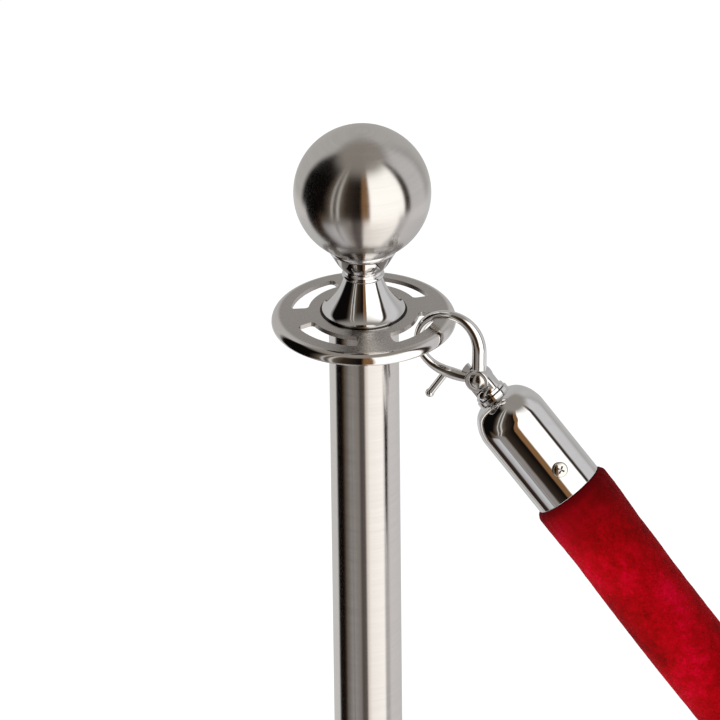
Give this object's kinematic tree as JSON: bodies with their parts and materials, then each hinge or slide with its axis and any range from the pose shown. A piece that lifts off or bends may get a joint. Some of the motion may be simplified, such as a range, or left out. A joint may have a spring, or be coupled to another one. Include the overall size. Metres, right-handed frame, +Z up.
{
  "type": "rope barrier stanchion",
  "caption": "Stainless rope barrier post with ball top, slotted rope ring, weighted base and a red velvet rope end held by swivel snap hooks.",
  "frame": {"origin": "centre of the base's underside, on the floor", "axes": "+Z up the post, -Y towards the viewer, the rope leaves to the front right (+X, slightly -Y)"},
  "size_m": [0.4713, 0.32, 0.95],
  "materials": {
    "rubber": "black moulded rubber",
    "cast_iron": "rough cast iron, painted dark grey",
    "brushed_stainless": "stainless steel, fine circumferential brushing",
    "polished_chrome": "mirror polished chrome",
    "satin_chrome": "satin nickel-chrome with a polished rounded rim",
    "zinc_steel": "zinc plated steel",
    "rivet_chrome": "chrome, hammered rivet head",
    "spring_steel": "spring wire",
    "screw_steel": "nickel plated pan head screw",
    "red_velvet": "deep red velvet with a short mottled nap",
    "rope_filling": "cotton and foam filling"
  },
  "bodies": {
    "stanchion": {"base_rubber_ring": "rubber", "base_weight": "cast_iron", "base_cover": "brushed_stainless", "base_collar": "polished_chrome", "base_bolt": "zinc_steel", "base_washer": "zinc_steel", "tube_foot_plug": "zinc_steel", "post_tube": "brushed_stainless", "tube_top_plug": "zinc_steel", "centre_stud": "zinc_steel", "rope_ring": "satin_chrome", "neck_collar": "polished_chrome", "ball_shell": "brushed_stainless", "ball_bush": "zinc_steel"},
    "post_hook": {"post_hook_body": "polished_chrome", "post_hook_rivet": "rivet_chrome", "post_hook_spring": "spring_steel"},
    "post_gate": {"post_hook_gate": "polished_chrome"},
    "rope": {"post_rope_cap": "polished_chrome", "post_cap_screws": "screw_steel", "post_swivel_washer": "zinc_steel", "rope_cover": "red_velvet", "rope_core": "rope_filling", "free_rope_cap": "polished_chrome", "free_cap_screws": "screw_steel", "free_swivel_washer": "zinc_steel"},
    "free_hook": {"free_hook_body": "polished_chrome", "free_hook_rivet": "rivet_chrome", "free_hook_spring": "spring_steel"},
    "free_gate": {"free_hook_gate": "polished_chrome"}
  },
  "joints": [
    {"name": "hook_swing", "type": "hinge", "parent": "stanchion", "child": "post_hook", "pos_m": [0.03712, -0.01351, 0.8406], "axis": [0.342, 0.9397, 0], "range_deg": [-30, 7]},
    {"name": "post_gate_open", "type": "hinge", "parent": "post_hook", "child": "post_gate", "pos_m": [0.06187, -0.02252, 0.81067], "axis": [0.342, 0.9397, 0], "range_deg": [0, 23], "stiffness_Nm_per_rad": 0.05, "springref_deg": -20.05},
    {"name": "post_cap_swivel", "type": "hinge", "parent": "post_hook", "child": "rope", "pos_m": [0.07018, -0.02555, 0.80035], "axis": [0.6115, -0.2226, -0.7593], "continuous": true},
    {"name": "free_hook_swivel", "type": "hinge", "parent": "rope", "child": "free_hook", "pos_m": [0.26869, -0.0978, 0.5522], "axis": [0.6312, -0.2297, -0.7408], "continuous": true},
    {"name": "free_gate_open", "type": "hinge", "parent": "free_hook", "child": "free_gate", "pos_m": [0.27727, -0.10092, 0.54213], "axis": [-0.342, -0.9397, 0], "range_deg": [0, 30], "stiffness_Nm_per_rad": 0.05, "springref_deg": -20.05}
  ]
}
